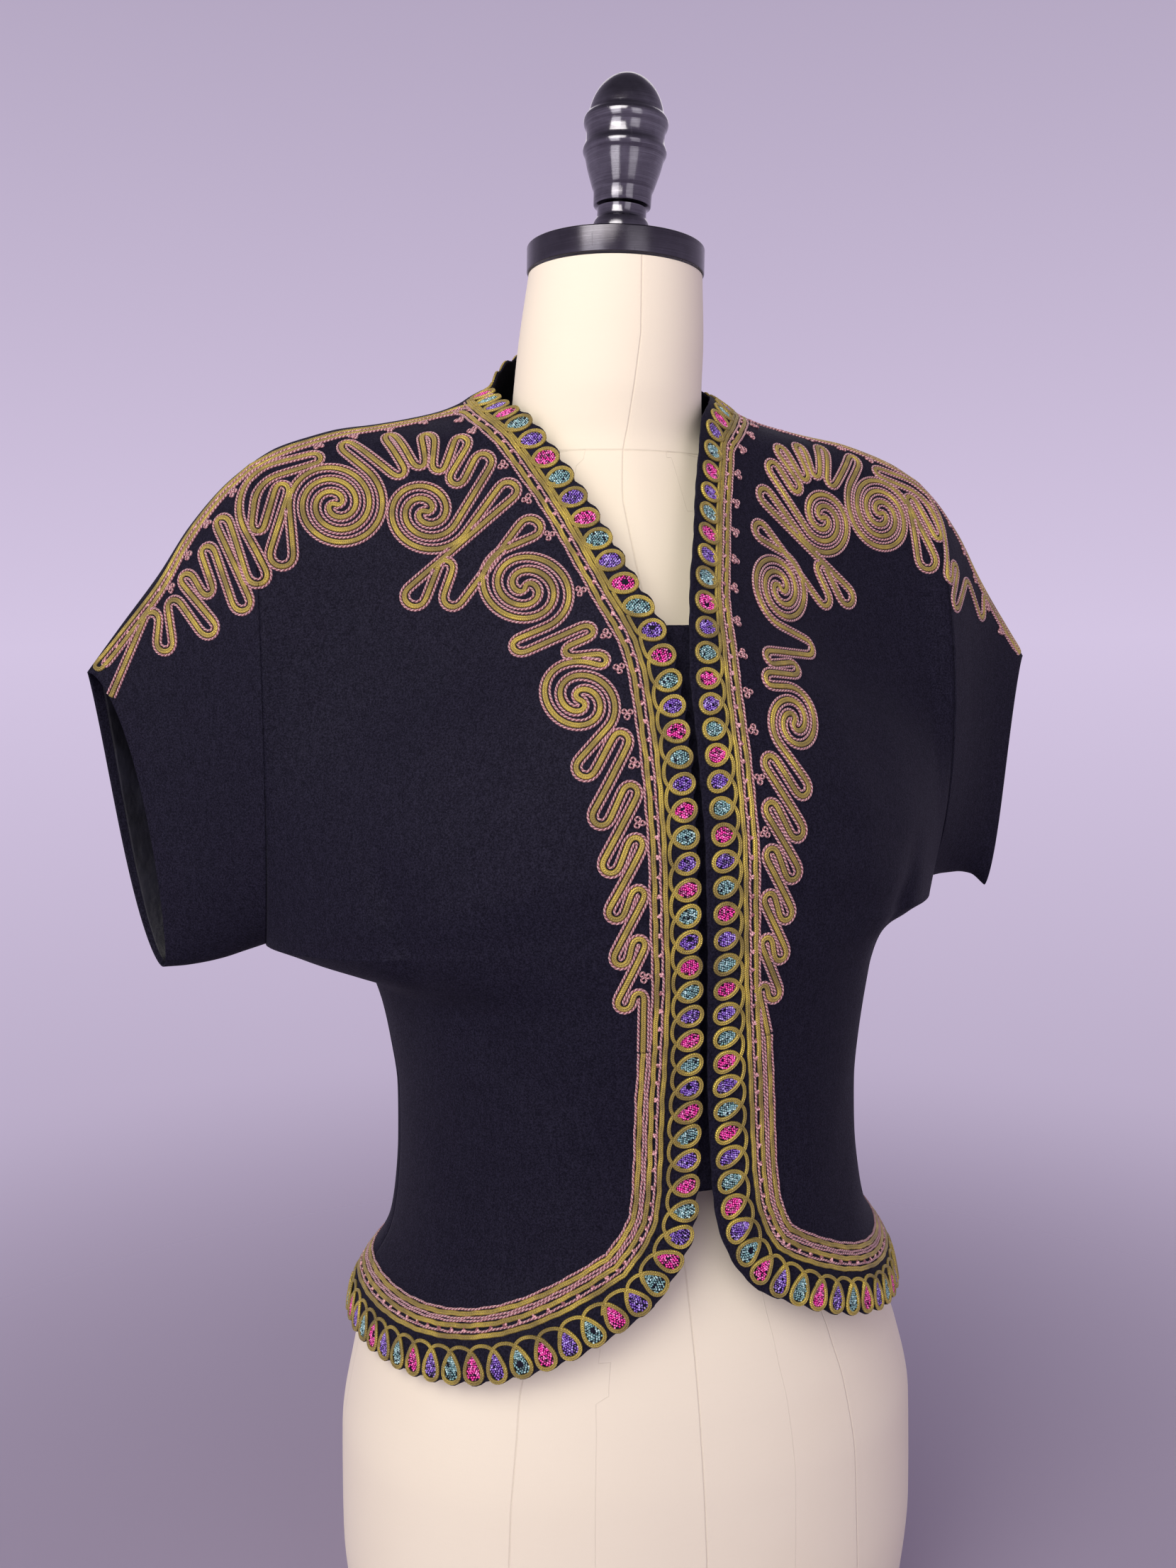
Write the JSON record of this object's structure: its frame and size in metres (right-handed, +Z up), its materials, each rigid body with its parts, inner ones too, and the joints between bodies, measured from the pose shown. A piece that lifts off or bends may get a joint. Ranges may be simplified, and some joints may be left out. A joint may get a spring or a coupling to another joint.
{
  "type": "cropped short-sleeved evening jacket on a limbless dress form",
  "caption": "Cropped black crepe jacket with short sleeves, corded and beaded edges, worn on an ivory dress form with a metal neck cap and finial.",
  "frame": {"origin": "middle of the footprint at the flat underside of the form", "axes": "+Z up, front of the jacket faces -Y, the wearer's left sleeve is at +X"},
  "size_m": [0.5703, 0.251, 0.9259],
  "materials": {
    "crepe": "fine pebbled crepe, faint soft sheen",
    "satin": "black satin lining, soft shine",
    "cotton": "smooth ivory cotton cover, matte",
    "steel": "brushed rim and polished turned finial"
  },
  "bodies": {
    "root": {"front_right": "crepe", "front_left": "crepe", "back": "crepe", "sleeve_right": "crepe", "sleeve_left": "crepe", "sleeve_lining_right": "satin", "sleeve_lining_left": "satin", "underlap": "crepe", "form_torso": "cotton", "form_neck_cap": "steel", "form_finial": "steel"}
  },
  "joints": []
}
